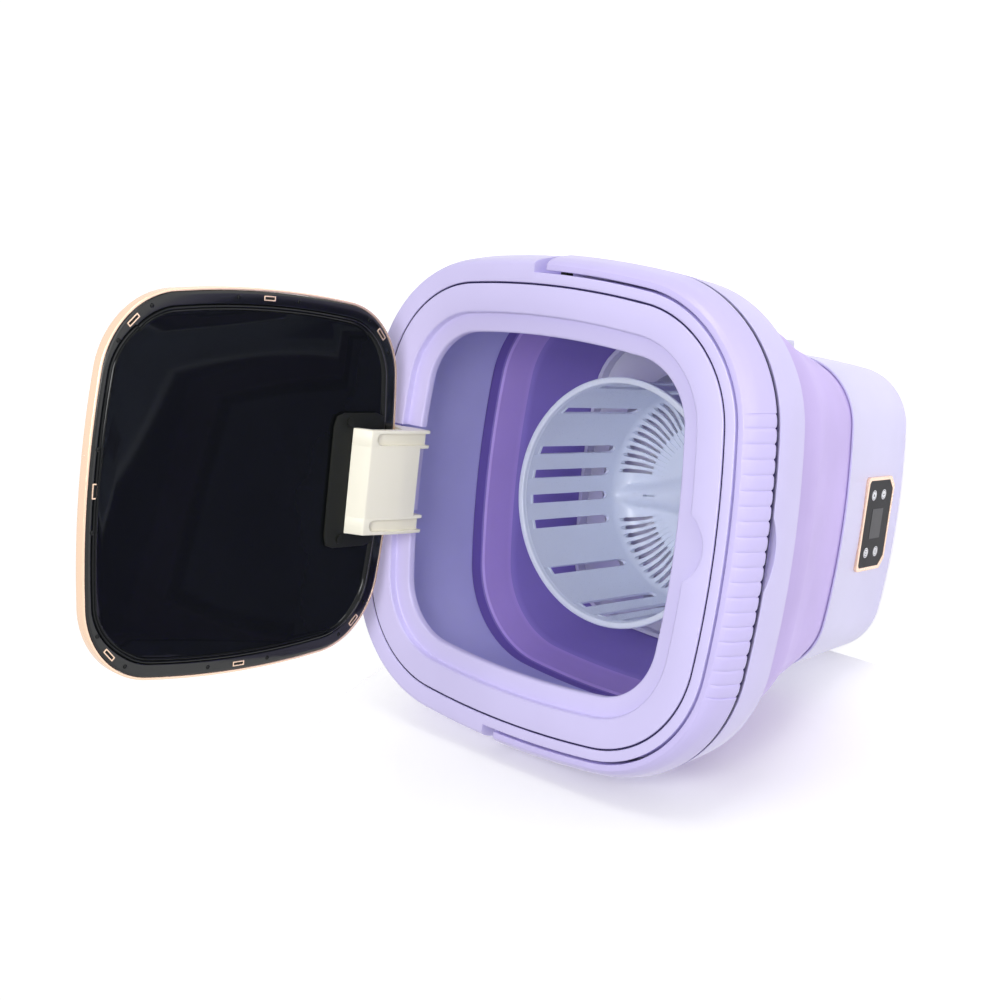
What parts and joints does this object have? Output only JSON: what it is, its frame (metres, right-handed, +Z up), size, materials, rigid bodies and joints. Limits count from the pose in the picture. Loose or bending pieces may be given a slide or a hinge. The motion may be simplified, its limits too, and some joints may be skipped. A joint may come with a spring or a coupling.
{
  "type": "top load washing machine",
  "caption": "Folding mini washing machine with a rigid base, soft collapsing wall, top ring, hinged lid, carrying bail and lift-out spin basket.",
  "frame": {"origin": "centre of the plane that the four feet stand on", "axes": "+Z up, -Y to the front with the control panel and the handle's grip, +Y to the lid hinge and the power inlet, +X to the drain spout"},
  "size_m": [0.3308, 0.3274, 0.5599],
  "materials": {
    "lavender_plastic": "satin injection-moulded lavender",
    "pale_plastic": "satin pale lavender",
    "soft_wall": "matt pinkish lavender thermoplastic elastomer",
    "foot_rubber": "matt dark grey",
    "grey_plastic": "matt mid grey",
    "dark_plastic": "matt charcoal",
    "steel": "plain zinc-plated or bright steel",
    "pinion_brass": "machined",
    "white_plastic": "satin white",
    "circuit_board": "green solder mask",
    "rose_gold_trim": "rose gold plating",
    "black_gloss": "high-gloss black",
    "display_window": "dark tinted display window",
    "black_rubber": "matt near-black",
    "cream_plastic": "satin cream",
    "lead_jacket": "matt red insulation"
  },
  "bodies": {
    "base": {"base_shell": "pale_plastic", "bottom_cover": "pale_plastic", "feet": "foot_rubber", "cover_screws": "steel", "lower_tub": "grey_plastic", "shaft_bearings": "steel", "shaft_seal": "black_rubber", "gearbox_housing": "dark_plastic", "gearbox_screws": "steel", "motor": "steel", "control_board": "circuit_board", "board_spacers": "pale_plastic", "panel_frame": "rose_gold_trim", "panel_glass": "black_gloss", "panel_display": "display_window", "touch_keys": "white_plastic", "power_inlet": "dark_plastic", "drain_spout": "grey_plastic", "wiring_harness": "lead_jacket", "lower_clamp_ring": "pale_plastic", "bellows": "soft_wall"},
    "rim": {"upper_clamp_ring": "pale_plastic", "rim_frame": "lavender_plastic", "top_ring": "lavender_plastic", "ring_screws": "steel", "hinge_mount": "lavender_plastic"},
    "lid": {"lid_cover": "black_gloss", "lid_liner": "black_gloss", "lid_trim": "rose_gold_trim", "lid_seal": "black_rubber", "hinge_pad": "black_rubber", "hinge_bracket": "cream_plastic", "hinge_pin": "steel", "hinge_screws": "steel"},
    "bail": {"handle": "lavender_plastic", "handle_pins": "steel"},
    "rotor": {"output_gear": "white_plastic", "output_shaft": "steel", "pulsator": "grey_plastic", "pulsator_nut": "steel"},
    "basket": {"spin_basket": "white_plastic"},
    "motor_rotor": {"motor_pinion": "pinion_brass"},
    "drain_plug": {"drain_cap": "dark_plastic"}
  },
  "joints": [
    {"name": "tub_fold", "type": "slide", "parent": "base", "child": "rim", "axis": [0, 0, -1], "range_m": [0, 0.136], "deforming": ["bellows"]},
    {"name": "lid_hinge", "type": "hinge", "parent": "rim", "child": "lid", "pos_m": [0, 0.1285, 0.3085], "axis": [-1, 0, 0], "range_deg": [-89, 5]},
    {"name": "handle_pivot", "type": "hinge", "parent": "rim", "child": "bail", "pos_m": [0, 0.002, 0.2885], "axis": [-1, 0, 0], "range_deg": [0, 90]},
    {"name": "drum_spin", "type": "hinge", "parent": "base", "child": "rotor", "pos_m": [0, 0, 0], "axis": [0, 0, 1], "continuous": true},
    {"name": "motor_spin", "type": "hinge", "parent": "base", "child": "motor_rotor", "pos_m": [0.04375, 0, 0], "axis": [0, 0, 1], "continuous": true},
    {"name": "basket_lift", "type": "slide", "parent": "rotor", "child": "basket", "axis": [0, 0, 1], "range_m": [0, 0.08]},
    {"name": "plug_pull", "type": "slide", "parent": "base", "child": "drain_plug", "axis": [1, 0, 0], "range_m": [0, 0.02]}
  ],
  "couplings": [
    {"joint": "motor_spin", "follows": "drum_spin", "ratio": -4}
  ]
}
